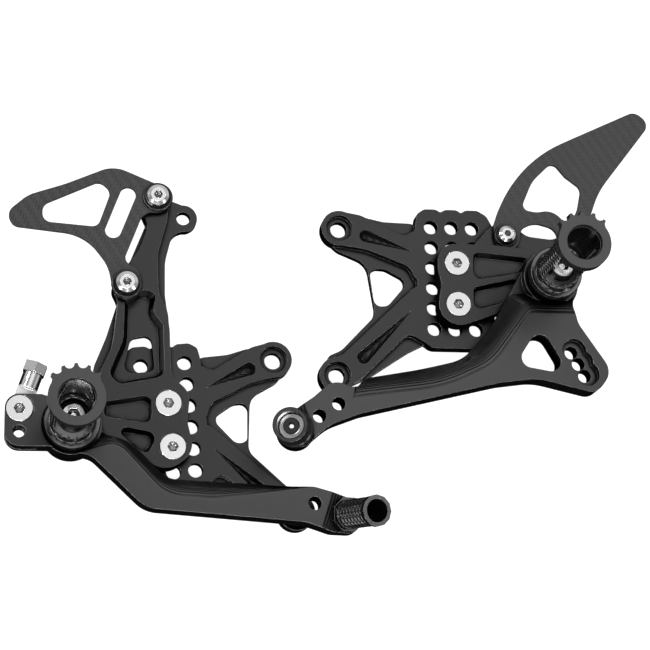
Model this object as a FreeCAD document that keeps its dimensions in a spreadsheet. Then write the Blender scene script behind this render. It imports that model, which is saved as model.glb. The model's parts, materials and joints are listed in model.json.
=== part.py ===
"""Pair of motorcycle rear sets: brake side and shift side, laid flat side by side.

Frame: +Z up, out of the plates and along the foot pegs. The back faces of both frame plates
lie at Z = 0. The origin is the centre of the shift plate's upper frame bolt hole at its back
face. All sizes are millimetres.
"""
import FreeCAD, Part
import math
import os
import re

import Sketcher
from FreeCAD import Placement, Rotation, Vector

doc = FreeCAD.newDocument("rear_set_pair")
sheet = doc.addObject("Spreadsheet::Sheet", "sizes")

# alias, value, meaning
SIZES = [
    ("plate_thickness", 10.0, "frame plate, full thickness"),
    ("web_thickness", 5.0, "frame plate, thin web between the arms"),
    ("lug_radius", 11.6, "rounded end of each frame bolt lug"),
    ("frame_bolt_radius", 5.25, "clearance hole for an M10 frame bolt"),
    ("frame_head_radius", 8.6, "counterbore for the frame bolt's head"),
    ("frame_head_depth", 4.0, "depth of that counterbore"),
    ("groove_radius", 4.1, "round end of each tapered groove in the arms"),
    ("grid_pitch", 13.6, "spacing of the height adjustment holes"),
    ("grid_hole_radius", 4.5, "height adjustment hole"),
    ("grid_back_radius", 6.2, "counterbore behind each adjustment hole"),
    ("grid_back_depth", 2.7, "depth of that counterbore"),
    ("carrier_bottom", 10.0, "back face of the peg carrier"),
    ("carrier_top", 22.0, "front face of the peg carrier"),
    ("brake_ledge_top", 16.0, "thin lug and edge of the brake carrier"),
    ("shift_ledge_top", 14.0, "thin guard tab of the shift carrier"),
    ("pocket_floor", 16.5, "floor of the lightening pockets"),
    ("lever_bottom", 23.3, "back face of pedal and lever"),
    ("lever_top", 38.3, "front face of pedal and lever"),
    ("crest_height", 34.0, "where an arm's rolled edge turns steep"),
    ("slope_foot", 27.0, "lower end of that slope"),
    ("hub_top", 33.8, "sunk face round the pivot"),
    ("hub_radius", 18.0, "outside of the pivot hub"),
    ("hub_recess_radius", 19.5, "sunk face round the peg"),
    ("lever_tip_radius", 11.5, "rounded tip of the shift lever"),
    ("bearing_outer_radius", 13.0, "ball bearing, 17 x 26 x 5"),
    ("bearing_inner_radius", 8.5, "ball bearing bore and pivot shaft"),
    ("bearing_width", 5.0, "ball bearing width"),
    ("ball_radius", 1.2, "bearing ball"),
    ("ball_circle_radius", 10.75, "pitch circle of the balls"),
    ("peg_bottom", 33.6, "lower end of the foot peg"),
    ("peg_floor", 54.0, "seat of the peg bolt inside the foot peg"),
    ("peg_shoulder", 45.0, "top of the foot peg's collar"),
    ("peg_end", 104.5, "outer end of the foot peg's barrel"),
    ("peg_radius", 13.0, "crest of the foot peg's grip rings"),
    ("collar_radius", 16.8, "collar at the foot peg's base"),
    ("flange_bottom", 101.0, "inner face of the toothed end ring"),
    ("flange_top", 107.5, "outer face of the toothed end ring"),
    ("flange_radius", 16.5, "plain rim of the end ring"),
    ("tooth_radius", 19.5, "tips of the end ring's teeth"),
    ("guard_thickness", 2.5, "carbon heel guard"),
    ("plate_head_radius", 8.0, "countersunk M8 head"),
    ("plate_head_depth", 4.5, "depth of the seat under that head"),
    ("plate_seat_radius", 8.5, "mouth of that seat, a little wider than the head"),
    ("plate_key", 6.0, "hexagon socket of those screws, across flats"),
    ("plate_key_depth", 3.4, "depth of that socket"),
    ("thread_m8_radius", 4.0, "M8 shank"),
    ("thread_m6_radius", 3.0, "M6 shank"),
    ("toe_hole_radius", 4.1, "clearance hole for an M8 toe peg bolt"),
    ("linkage_hole_radius", 4.1, "clearance hole for an M8 linkage bolt"),
    ("linkage_head_radius", 7.7, "counterbore round a linkage hole"),
    ("linkage_head_depth", 5.0, "depth of that counterbore"),
    ("reservoir_hole_radius", 4.25, "hole for the fluid reservoir's bracket"),
    ("reservoir_lug_radius", 8.8, "rounded lug round that hole"),
    ("spacer_thickness", 2.0, "spacer under the brake side's heel guard"),
    ("notch_radius", 2.9, "gap between two teeth of the end ring"),
    ("flange_bore_radius", 11.0, "mouth of the end ring"),
    ("flange_seat_radius", 12.2, "seat of the end ring on the barrel"),
    ("toe_bore_radius", 7.0, "bore of the brake toe peg"),
    ("toe_collar_height", 3.6, "many-sided collar of the brake toe peg"),
    ("pushrod_body_radius", 6.0, "round body of the pushrod end"),
    ("pushrod_thread_radius", 3.4, "M8 tapping drill in the pushrod end"),
    ("fork_bottom", 28.3, "lower side of the slot for the pushrod end"),
    ("fork_top", 33.3, "upper side of that slot"),
]
for row, (alias, value, meaning) in enumerate(SIZES, start=1):
    sheet.set(f"A{row}", meaning)
    sheet.set(f"B{row}", str(value))
    sheet.setAlias(f"B{row}", alias)
doc.recompute()

# Pivot axes, in X and Y.
BRAKE_AXIS = (-170.0, -137.0)
SHIFT_AXIS = (132.0, -36.5)
# Upper frame bolt of the brake plate, and how far that plate is turned.
BRAKE_PLATE_AT = (-44.0, -88.0)
BRAKE_PLATE_TURN = 5.6
# From the frame bolt line to the first column of adjustment holes.
REACH = {"brake": 56.0, "shift": 60.0}
GRID_TOP = 2.2
GRID_COLUMNS = 3
GRID_ROWS = 6
LOWER_LUG = (-3.4, -97.0)
# Tapered grooves milled in the arms, from the deep round end to the tip.
ARM_GROOVES = [((17.0, -4.8), (47.5, -14.6)), ((13.5, -85.4), (46.5, -53.0))]
# Adjustment holes in use: middle column, third and fifth rows.
USED_COLUMN = 1
USED_ROWS = (2, 4)

# Toe pegs stand a little outwards from their levers.
BRAKE_TOE = (-5.3, -189.7)
BRAKE_TOE_CANT = Vector(0.31, -0.10, 0.945)
SHIFT_TOE = (-33.6, -137.8)
SHIFT_TOE_CANT = Vector(-0.29, -0.08, 0.954)

# From the middle of the lever's thickness out to each toe peg's canted seat.
BRAKE_TOE_SEAT = 3.2
SHIFT_TOE_SEAT = 4.6

CLEVIS_AT = (-201.0, -128.0)
CLEVIS_TURN = 71.0
FORK_HOLES = (CLEVIS_AT, (-201.0, -142.0))

nodes = []


def size(alias):
    return float(sheet.get(alias))


def bind(text):
    """Sheet expression from plain alias names, as in 'lever_top - fork_top'."""
    return re.sub(r"[a-z]\w+", lambda word: "sizes." + word.group(), text)


def keep(piece):
    """Marks an object as a finished sub-part, written under its Label."""
    nodes.append(piece)
    return piece


# ---------------------------------------------------------------- outlines

def rounded(points, mirror=1):
    """Closed outline through (x, y, radius) corners; radius 0 is a sharp corner."""
    corners = [(Vector(mirror * x, y, 0), radius) for x, y, radius in points]
    count = len(corners)
    starts, ends, middles, reaches = [], [], [], []
    for index, (corner, radius) in enumerate(corners):
        before = (corners[index - 1][0] - corner).normalize()
        after = (corners[(index + 1) % count][0] - corner).normalize()
        half = before.getAngle(after) / 2
        reach = radius / math.tan(half)
        bisector = before + after
        reaches.append(reach)
        starts.append(corner + before * reach)
        ends.append(corner + after * reach)
        if radius and bisector.Length > 1e-6:
            centre = corner + bisector.normalize() * (radius / math.sin(half))
            middles.append(centre + (corner - centre).normalize() * radius)
        else:
            middles.append(None)
    edges = []
    for index in range(count):
        room = corners[index][0].distanceToPoint(corners[(index + 1) % count][0])
        if reaches[index] + reaches[(index + 1) % count] > room + 1e-6:
            raise ValueError(f"the arcs at {points[index]} and the next corner overlap")
        if middles[index] is not None:
            edges.append(Part.Arc(starts[index], middles[index], ends[index]))
        start, end = ends[index], starts[(index + 1) % count]
        if start.distanceToPoint(end) > 1e-6:
            edges.append(Part.LineSegment(start, end))
    return edges


def slot(start, end, radius, mirror=1):
    """Outline of a round-ended slot between two centres."""
    a = Vector(mirror * start[0], start[1], 0)
    b = Vector(mirror * end[0], end[1], 0)
    along = (b - a).normalize() * radius
    across = Vector(-along.y, along.x, 0)
    return [Part.LineSegment(a + across, b + across),
            Part.Arc(b + across, b + along, b - across),
            Part.LineSegment(b - across, a - across),
            Part.Arc(a - across, a - along, a + across)]


def polygon(x, y, sides, across_flats, turn=0.0):
    """Regular polygon outline."""
    radius = across_flats / 2 / math.cos(math.pi / sides)
    corners = []
    for index in range(sides):
        angle = math.radians(turn) + 2 * math.pi * index / sides
        corners.append(Vector(x + radius * math.cos(angle), y + radius * math.sin(angle), 0))
    return [Part.LineSegment(corners[index - 1], corners[index]) for index in range(sides)]


def blend(first, second, share):
    """Corner list part of the way from one line to another."""
    return [(a[0] + (b[0] - a[0]) * share, a[1] + (b[1] - a[1]) * share, a[2])
            for a, b in zip(first, second)]


# ---------------------------------------------------------------- features

def new_body(name):
    body = doc.addObject("PartDesign::Body", name)
    body.Label = name
    return body


def new_sketch(body, plane, height=None):
    """Empty sketch on one of the body's own planes, raised by a sheet expression."""
    sketch = body.newObject("Sketcher::SketchObject", body.Name + "_sketch")
    base = [f for f in body.Origin.OriginFeatures if f.Role == plane][0]
    sketch.AttachmentSupport = [(base, "")]
    sketch.MapMode = "FlatFace"
    if height is not None:
        sketch.setExpression("AttachmentOffset.Base.z", bind(height))
    return sketch


def draw(sketch, edges, circles):
    """Adds an outline and circles; a circle is (x, y, radius expression)."""
    for edge in edges:
        sketch.addGeometry(edge)
    for x, y, radius in circles:
        index = sketch.addGeometry(Part.Circle(Vector(x, y, 0), Vector(0, 0, 1), 1.0))
        sketch.addConstraint(Sketcher.Constraint("Radius", index, 1.0))
        sketch.setExpression(f"Constraints[{sketch.ConstraintCount - 1}]", bind(radius))


def pad(body, bottom, top, edges=(), circles=()):
    """Adds material between two heights, each a sheet expression."""
    sketch = new_sketch(body, "XY_Plane", bottom)
    draw(sketch, edges, circles)
    feature = body.newObject("PartDesign::Pad", body.Name + "_pad")
    feature.Profile = sketch
    feature.setExpression("Length", bind(f"({top}) - ({bottom})"))
    body.Tip = feature
    doc.recompute()
    if not body.Shape.isValid():
        raise RuntimeError(f"{body.Name}: a pad failed at {bottom} to {top}")
    return feature


def cut(body, top, bottom, edges=(), circles=(), draft=0.0):
    """Takes material away downwards between two heights; with a draft, the walls lean inwards."""
    before = body.Shape.Volume
    sketch = new_sketch(body, "XY_Plane", top)
    draw(sketch, edges, circles)
    feature = body.newObject("PartDesign::Pocket", body.Name + "_pocket")
    feature.Profile = sketch
    feature.setExpression("Length", bind(f"({top}) - ({bottom})"))
    feature.TaperAngle = -draft
    body.Tip = feature
    doc.recompute()
    if body.Shape.Volume > before - 1e-3:
        raise RuntimeError(f"{body.Name}: a pocket removed nothing")
    return feature


def revolve(body, profile):
    """Turned solid from a closed (radius, height) outline of points."""
    sketch = new_sketch(body, "XZ_Plane")
    corners = [Vector(r, z, 0) for r, z in profile]
    for index in range(len(corners)):
        sketch.addGeometry(Part.LineSegment(corners[index - 1], corners[index]))
    feature = body.newObject("PartDesign::Revolution", body.Name + "_turn")
    feature.Profile = sketch
    feature.ReferenceAxis = (sketch, ["V_Axis"])
    feature.Angle = 360
    body.Tip = feature
    doc.recompute()
    return feature


def cut_between(body, sections):
    """Takes away the solid ruled between outlines; each is (height expression, edges)."""
    before = body.Shape.Volume
    sketches = []
    for height, edges in sections:
        sketch = new_sketch(body, "XY_Plane", height)
        draw(sketch, edges, [])
        sketches.append(sketch)
    feature = body.newObject("PartDesign::SubtractiveLoft", body.Name + "_slope")
    feature.Profile = sketches[0]
    feature.Sections = sketches[1:]
    feature.Ruled = True
    body.Tip = feature
    doc.recompute()
    if body.Shape.Volume > before - 1:
        raise RuntimeError(f"{body.Name}: a slope removed nothing")


def place(body, x, y, z=0.0, direction=Vector(0, 0, 1), turn=0.0):
    """Puts a sub-part drawn about Z at its place, tilted to a direction."""
    tilt = Rotation(Vector(0, 0, 1), direction)
    body.Placement = Placement(Vector(x, y, z), tilt * Rotation(Vector(0, 0, 1), turn))
    return body


def group(name, pieces):
    """One node that holds several separate solids."""
    compound = doc.addObject("Part::Compound", name)
    compound.Label = name
    compound.Links = pieces
    doc.recompute()
    return keep(compound)


# ---------------------------------------------------------------- frame plates

def grid_holes(side, mirror):
    """Centres of the height adjustment holes in the plate's own frame, by row."""
    pitch = size("grid_pitch")
    return [[(mirror * (REACH[side] + column * pitch), GRID_TOP - line * pitch)
             for column in range(GRID_COLUMNS)] for line in range(GRID_ROWS)]


def used_holes(side):
    """Centres of the adjustment holes in use, in the row's frame."""
    mirror = -1 if side == "brake" else 1
    holes = grid_holes(side, mirror)
    centres = [Vector(*holes[line][USED_COLUMN], 0) for line in USED_ROWS]
    if side == "brake":
        turn = Placement(Vector(*BRAKE_PLATE_AT, 0), Rotation(Vector(0, 0, 1), BRAKE_PLATE_TURN))
        centres = [turn.multVec(centre) for centre in centres]
    return [(centre.x, centre.y) for centre in centres]


def frame_plate(side):
    """Forked plate that bolts to the motorcycle's frame, with its adjustment holes."""
    mirror = -1 if side == "brake" else 1
    reach = REACH[side]
    scale = reach / REACH["shift"]
    holes = grid_holes(side, mirror)
    flat = [hole for line in holes for hole in line]
    pitch = size("grid_pitch")
    right = reach + (GRID_COLUMNS - 1) * pitch
    bottom = GRID_TOP - (GRID_ROWS - 1) * pitch

    def shape(points):
        return rounded([(x * scale, y, r) for x, y, r in points], mirror)

    body = new_body(side + "_frame_plate")
    # Thin web under the arms, then the full-height arms and the grid block on it.
    pad(body, "0", "web_thickness", shape([
        (-4, 8, 4), (16, 9.5, 20), (30, 6.5, 20), (50, 6, 8), (56, -2, 0), (62, -40, 0),
        (56, -74, 0), (44, -80, 8), (18, -97, 20), (-3.4, -107, 6), (-9, -84, 3),
        (0, -80, 12), (23, -56, 9), (18, -22, 12), (-1, -14, 12), (-9, -6, 3)]))
    pad(body, "0", "plate_thickness", circles=[(0, 0, "lug_radius")])
    pad(body, "0", "plate_thickness",
        circles=[(mirror * LOWER_LUG[0], LOWER_LUG[1], "lug_radius")])
    pad(body, "0", "plate_thickness", shape([
        (0, 11.5, 0), (14, 9, 12), (42, -4.2, 5), (50, 0, 0), (56, -36, 0),
        (48, -32, 6), (46, -25, 9), (18, -14, 20), (2, -11.5, 12), (-4, -11, 0)]))
    pad(body, "0", "plate_thickness", shape([
        (-8, -87, 0), (0, -84, 12), (34, -51.5, 40), (47, -39, 10), (56, -36, 0),
        (56, -76, 0), (43, -69, 5), (12, -99, 12), (-2, -108.4, 0)]))
    edge = 9.0
    block = [(reach - 10, 5, 0), (reach - 9, GRID_TOP + edge, 4)]
    for column in range(GRID_COLUMNS):
        centre = reach + column * pitch
        block += [(centre - 4, GRID_TOP + edge + 3.4, 5), (centre + 4, GRID_TOP + edge + 3.4, 5)]
        if column < GRID_COLUMNS - 1:
            block.append((centre + pitch / 2, GRID_TOP + edge + 1.2, 2))
    block += [(right + 10, GRID_TOP + edge, 8), (right + 15, GRID_TOP - 1, 6),
              (right + 12, bottom - 8, 7), (right, bottom - 12.5, 8),
              (reach - 2, bottom - 12.5, 8), (reach - 10, bottom - 6, 0)]
    pad(body, "0", "plate_thickness", rounded(block, mirror))
    # Through window between the arms.
    cut(body, "plate_thickness", "0", shape([
        (19.5, -25, 5), (30, -25.5, 8), (45, -33.5, 5), (31, -50, 6), (22.5, -50.5, 5)]))
    # Frame bolt holes with counterbores.
    lugs = [(0, 0), (mirror * LOWER_LUG[0], LOWER_LUG[1])]
    cut(body, "plate_thickness", "plate_thickness - frame_head_depth",
        circles=[(x, y, "frame_head_radius") for x, y in lugs])
    cut(body, "plate_thickness", "0", circles=[(x, y, "frame_bolt_radius") for x, y in lugs])
    # Adjustment holes, counterbored at the back for the sleeve nuts.
    cut(body, "plate_thickness", "0", circles=[(x, y, "grid_hole_radius") for x, y in flat])
    cut(body, "grid_back_depth", "0", circles=[(x, y, "grid_back_radius") for x, y in flat])
    grooves = []
    for number, (start, tip) in enumerate(ARM_GROOVES, start=1):
        start = Vector(mirror * start[0] * scale, start[1], size("plate_thickness"))
        tip = Vector(mirror * tip[0] * scale, tip[1], size("plate_thickness"))
        cone = doc.addObject("Part::Cone", f"{side}_groove_{number}")
        cone.setExpression("Radius1", bind("groove_radius"))
        cone.Radius2 = 0.05
        cone.Height = start.distanceToPoint(tip)
        cone.Placement = Placement(start, Rotation(Vector(0, 0, 1), tip - start))
        ball = doc.addObject("Part::Sphere", f"{side}_groove_end_{number}")
        ball.setExpression("Radius", bind("groove_radius"))
        ball.Placement.Base = start
        grooves += [cone, ball]
    tools = doc.addObject("Part::MultiFuse", side + "_plate_grooves")
    tools.Shapes = grooves
    grooved = doc.addObject("Part::Cut", side + "_plate_grooved")
    grooved.Base = body
    grooved.Tool = tools
    body.Label += "_blank"
    grooved.Label = side + "_frame_plate"
    doc.recompute()
    if side == "brake":
        place(grooved, *BRAKE_PLATE_AT, turn=BRAKE_PLATE_TURN)
    return keep(grooved)


# ---------------------------------------------------------------- peg carriers

# Screws that hold each heel guard, in the row's frame.
GUARD_SCREWS = {"brake": [(-118.0, 11.0), (-137.0, -46.0)], "shift": [(108.0, -4.0), (150.0, -12.0)]}
RESERVOIR_LUG = (-101.0, 1.0)
# Lean of the lightening pockets' walls, in degrees.
POCKET_DRAFT = 20.0


def finish_carrier(body, side, axis, screw_top):
    """Holes every carrier has: pivot bore, countersunk plate screws and guard screws."""
    pair = used_holes(side)
    cut(body, "carrier_top", "carrier_bottom", circles=[(*axis, "bearing_inner_radius")])
    cut(body, "carrier_top", "carrier_bottom", circles=[(x, y, "thread_m8_radius") for x, y in pair])
    cut(body, "carrier_top", "carrier_top - plate_head_depth",
        circles=[(x, y, "plate_seat_radius") for x, y in pair])
    cut(body, screw_top, "carrier_bottom",
        circles=[(x, y, "thread_m6_radius") for x, y in GUARD_SCREWS[side]])
    return keep(body)


def shift_carrier():
    """Plate that carries the shift side's foot peg, lever pivot and heel guard."""
    body = new_body("shift_peg_carrier")
    low, high = "carrier_bottom", "carrier_top"
    pad(body, low, high, rounded([
        (61, -12.3, 12), (100, -12.5, 60), (128, -15.5, 0), (148, -36, 0), (128, -56, 0),
        (104, -55.5, 8), (92, -60.5, 30), (75, -66.5, 12), (59.5, -63, 13), (61.5, -47, 8),
        (63, -39, 8), (61, -30, 8)]))
    pad(body, low, high, circles=[(*SHIFT_AXIS, "hub_recess_radius + 1.3")])
    pad(body, low, "shift_ledge_top", rounded([
        (86, -16, 0), (88, -9, 3), (97, 1, 10), (103, 5.5, 6), (114, 4.5, 6), (122, -3.2, 12),
        (139, -5, 10), (150, -1, 9), (160.5, -8, 9), (157, -22, 9), (140, -30, 0)]))
    cut(body, high, "pocket_floor", rounded([
        (84, -17, 4.5), (123, -20.5, 3), (115.5, -30.5, 5), (84, -36, 4.5)]), draft=POCKET_DRAFT)
    cut(body, high, "pocket_floor", rounded([
        (83.5, -41, 4), (116, -33.4, 3), (108.5, -49.5, 6), (83.5, -56, 4)]), draft=POCKET_DRAFT)
    return finish_carrier(body, "shift", SHIFT_AXIS, "shift_ledge_top")


def brake_carrier():
    """Tall plate that carries the brake side's foot peg, pedal pivot and heel guard."""
    body = new_body("brake_peg_carrier")
    low, high = "carrier_bottom", "carrier_top"
    # Thin edge and reservoir lug, then the full-height body on it.
    pad(body, low, "brake_ledge_top", rounded([
        (-110, 13, 6), (-101, 9.5, 0), (-96, 1, 0), (-100, -7, 0),
        (-108, -10, 8), (-112.5, -28, 30), (-112.5, -50, 30), (-109.5, -72, 30), (-109, -98, 0),
        (-150, -110, 0), (-159, -103, 12), (-149, -78, 30), (-143.5, -60, 12), (-135, -30, 0),
        (-123, 0, 0)]))
    pad(body, low, "brake_ledge_top", circles=[(*RESERVOIR_LUG, "reservoir_lug_radius")])
    pad(body, low, high, rounded([
        (-128, 4, 0), (-121, 20, 6), (-109.8, 14.5, 5), (-111.5, -2, 20), (-117.5, -24, 30),
        (-117, -50, 25), (-111, -62, 20), (-109, -103, 10), (-97.5, -113, 12), (-99.5, -131, 10),
        (-95, -150, 13), (-113, -164, 14), (-128, -152, 0), (-152, -150, 0), (-156, -108, 0),
        (-145, -84, 40), (-142, -56, 12), (-147, -46, 8), (-139, -36, 8), (-129, -22, 30),
        (-123.5, -6, 10)]))
    pad(body, low, high, circles=[(*BRAKE_AXIS, "hub_radius - 0.5")])
    # Tall pocket with a window through its floor, and two small pockets below it.
    cut(body, high, "pocket_floor - 2", rounded([
        (-138, -56, 4), (-126, -46.5, 8), (-118.5, -51, 4), (-120.5, -62, 8), (-114, -70, 4),
        (-113.3, -103, 6), (-141, -108.5, 6), (-147.5, -102, 5), (-138.5, -80, 20)]),
        draft=POCKET_DRAFT)
    cut(body, high, "carrier_bottom", rounded([
        (-133.5, -77.5, 4), (-121, -75, 5), (-118.5, -98, 4), (-139, -100.5, 5)]))
    cut(body, high, "pocket_floor", rounded([
        (-150, -119.5, 3), (-121, -114.5, 5), (-121, -133, 5), (-150, -128.5, 3)]),
        draft=POCKET_DRAFT)
    cut(body, high, "pocket_floor", rounded([
        (-146, -133.5, 3), (-117, -138.5, 5), (-124, -153, 4), (-136, -143, 8)]),
        draft=POCKET_DRAFT)
    cut(body, "brake_ledge_top", "carrier_bottom", circles=[(*RESERVOIR_LUG, "reservoir_hole_radius")])
    return finish_carrier(body, "brake", BRAKE_AXIS, "carrier_top")


# ---------------------------------------------------------------- heel guards

def heel_guard(side, outline, window, slots, bottom):
    """Flat carbon guard with its lightening windows and two screw holes."""
    body = new_body(side + "_heel_guard")
    top = bottom + " + guard_thickness"
    pad(body, bottom, top, rounded(outline))
    cut(body, top, bottom, rounded(window))
    for start, end, radius in slots:
        cut(body, top, bottom, slot(start, end, radius))
    cut(body, top, bottom, circles=[(x, y, "thread_m6_radius + 0.2") for x, y in GUARD_SCREWS[side]])
    return keep(body)


def heel_guards():
    heel_guard("brake", [
        (-211.5, -2, 7), (-198, 10, 22), (-175, 18, 80), (-145.5, 31, 20), (-118, 19.5, 0),
        (-109.5, 14, 8), (-112, 1.5, 8), (-126.5, 1.5, 9), (-139, -31, 5), (-129, -37, 7),
        (-128.5, -53, 8), (-144, -56, 8), (-148.5, -34, 25), (-163, -15, 30), (-206.5, -10.5, 6)],
        [(-189, 4, 6), (-154, 20.5, 6), (-147, 14, 6), (-155, -9.5, 5), (-189, -7, 5.5)],
        [((-136.5, 12), (-145.5, -11.5), 5.0)], "carrier_top + spacer_thickness")
    heel_guard("shift", [
        (100, 2, 7), (103.5, 12, 30), (120, 47, 90), (158, 65.5, 60), (200, 85.5, 7),
        (211, 77.5, 7), (172, 28, 60), (163, 4, 30), (159.5, -12, 8), (152, -22, 8),
        (141, -16, 7), (143.5, 1, 8), (128, 5.5, 12), (118, 1, 8), (116.5, -13, 8),
        (101.5, -13, 8)],
        [(119, 14.5, 4), (127.5, 34, 30), (142, 48, 4.5), (150, 38, 10), (160.5, 30, 6),
         (157, 14, 14), (149.5, 5, 5), (140, 14.5, 12), (129, 12.5, 14)],
        [], "shift_ledge_top")


# ---------------------------------------------------------------- screws and nuts

def drilled(key, top, depth):
    """Last profile points of a screw head: the hole drilled for its socket, coned to a flat centre."""
    radius = key / 2 * 0.94
    centre = key * 0.28
    floor = top - depth - (radius - centre) * 0.6
    return [(radius, top), (radius, top - depth), (centre, floor), (0, floor)]


def screw(name, x, y, profile, key, key_top, key_depth):
    """Turned screw with a hexagon socket, standing at (x, y); key_top is a height."""
    body = new_body(name)
    revolve(body, profile + drilled(key, key_top, key_depth))
    cut(body, f"{key_top}", f"{key_top - key_depth}", polygon(0, 0, 6, key))
    return place(body, x, y)


def plate_screws(side):
    """Countersunk M8 screws that clamp the carrier to the frame plate, and their sleeve nuts."""
    top, shank = size("carrier_top"), size("thread_m8_radius")
    head = size("plate_head_radius")
    tip = 3.0
    screws, nuts = [], []
    for number, (x, y) in enumerate(used_holes(side), start=1):
        screws.append(screw(f"{side}_plate_screw_{number}", x, y, [
            (0, tip), (shank - 0.6, tip), (shank, tip + 0.6), (shank, top - size("plate_head_depth")),
            (head, top - 1.0), (head, top - 0.2), (head - 0.2, top)],
            size("plate_key"), top, size("plate_key_depth")))
        nut = new_body(f"{side}_sleeve_nut_{number}")
        inside, sleeve = shank, size("grid_hole_radius")
        flange, rim = size("grid_back_radius") - 0.2, size("grid_back_depth")
        revolve(nut, [(inside, 0), (flange, 0), (flange, rim), (sleeve, rim),
                      (sleeve, size("carrier_bottom")), (inside, size("carrier_bottom"))])
        nuts.append(place(nut, x, y))
    group(side + "_plate_screws", screws)
    group(side + "_sleeve_nuts", nuts)


def guard_screws(side, ledge, spacer, head_radius, head_height):
    """Button-head guard screws with their cup washers, and spacers where the guard stands off."""
    shank = size("thread_m6_radius")
    guard_top = ledge + spacer + size("guard_thickness")
    washer_top = guard_top + 1.6
    top = washer_top + head_height
    screws, washers, spacers = [], [], []
    for number, (x, y) in enumerate(GUARD_SCREWS[side], start=1):
        screws.append(screw(f"{side}_guard_screw_{number}", x, y, [
            (0, 11.0), (shank, 11.0), (shank, washer_top), (head_radius, washer_top),
            (head_radius, washer_top + 1.2), (head_radius * 0.86, top - 1.2),
            (head_radius * 0.58, top)], head_radius * 0.62, top, head_height * 0.6))
        washer = new_body(f"{side}_guard_washer_{number}")
        rim = head_radius + 1.2
        revolve(washer, [(shank + 0.2, guard_top), (rim + 0.6, guard_top), (rim, washer_top),
                         (shank + 0.2, washer_top)])
        washers.append(place(washer, x, y))
        if spacer:
            ring = new_body(f"{side}_guard_spacer_{number}")
            revolve(ring, [(shank + 0.2, ledge), (rim, ledge), (rim, ledge + spacer),
                           (shank + 0.2, ledge + spacer)])
            spacers.append(place(ring, x, y))
    group(side + "_guard_screws", screws)
    group(side + "_guard_washers", washers)
    if spacers:
        group(side + "_guard_spacers", spacers)


# ---------------------------------------------------------------- pivot

def pivot(side, axis):
    """Shaft, thrust spacer, dust seal and the two ball bearings of one pivot."""
    inner, outer = size("bearing_inner_radius"), size("bearing_outer_radius")
    low, high = size("carrier_bottom"), size("peg_bottom")
    top = size("carrier_top")
    width, ball = size("bearing_width"), size("ball_radius")
    circle = size("ball_circle_radius")
    bolt = size("thread_m8_radius")

    shaft = new_body(side + "_pivot_shaft")
    revolve(shaft, [(0, low - 3), (12.5, low - 3), (13, low - 2.5), (13, low), (inner, low),
                    (inner, high), (bolt, high), (bolt, low + 4), (0, low + 2)])
    keep(place(shaft, *axis))
    spacer = new_body(side + "_thrust_spacer")
    first = high - 2 * width - 0.1
    revolve(spacer, [(inner, top), (10.1, top), (10.1, first), (inner, first)])
    keep(place(spacer, *axis))
    seal = new_body(side + "_dust_seal")
    revolve(seal, [(14, top), (16.4, top), (16.8, top + 0.4), (16.4, top + 1), (14, top + 1),
                   (13.6, top + 0.5)])
    keep(place(seal, *axis))

    inners, outers, balls = [], [], []
    for number in (1, 2):
        bottom = first + (number - 1) * (width + 0.1)
        middle = bottom + width / 2
        race = new_body(f"{side}_inner_race_{number}")
        groove = ball + 0.05
        revolve(race, [(inner, bottom), (10.1, bottom), (10.1, middle - groove),
                       (circle - groove, middle - 0.5), (circle - groove, middle + 0.5),
                       (10.1, middle + groove), (10.1, bottom + width), (inner, bottom + width)])
        inners.append(place(race, *axis))
        race = new_body(f"{side}_outer_race_{number}")
        groove = ball + 0.1
        revolve(race, [(outer, bottom), (11.4, bottom), (11.4, middle - groove),
                       (circle + groove, middle - 0.5), (circle + groove, middle + 0.5),
                       (11.4, middle + groove), (11.4, bottom + width), (outer, bottom + width)])
        outers.append(place(race, *axis))
        for index in range(14):
            sphere = doc.addObject("Part::Sphere", f"{side}_ball_{number}_{index + 1}")
            sphere.setExpression("Radius", bind("ball_radius"))
            angle = 2 * math.pi * index / 14
            sphere.Placement.Base = Vector(axis[0] + circle * math.cos(angle),
                                           axis[1] + circle * math.sin(angle), middle)
            balls.append(sphere)
    group(side + "_bearing_inner_races", inners)
    group(side + "_bearing_outer_races", outers)
    group(side + "_bearing_balls", balls)


# ---------------------------------------------------------------- foot pegs

def ringed(bottom, top, radius, depth, pitch):
    """Profile points of a grip: flat-topped rings between V grooves, from bottom to top."""
    points = []
    count = int((top - bottom) / pitch)
    start = bottom + (top - bottom - count * pitch) / 2
    for index in range(count):
        z = start + index * pitch
        points += [(radius - depth, z), (radius, z + pitch * 0.3), (radius, z + pitch * 0.7)]
    points.append((radius - depth, start + count * pitch))
    return points


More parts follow.
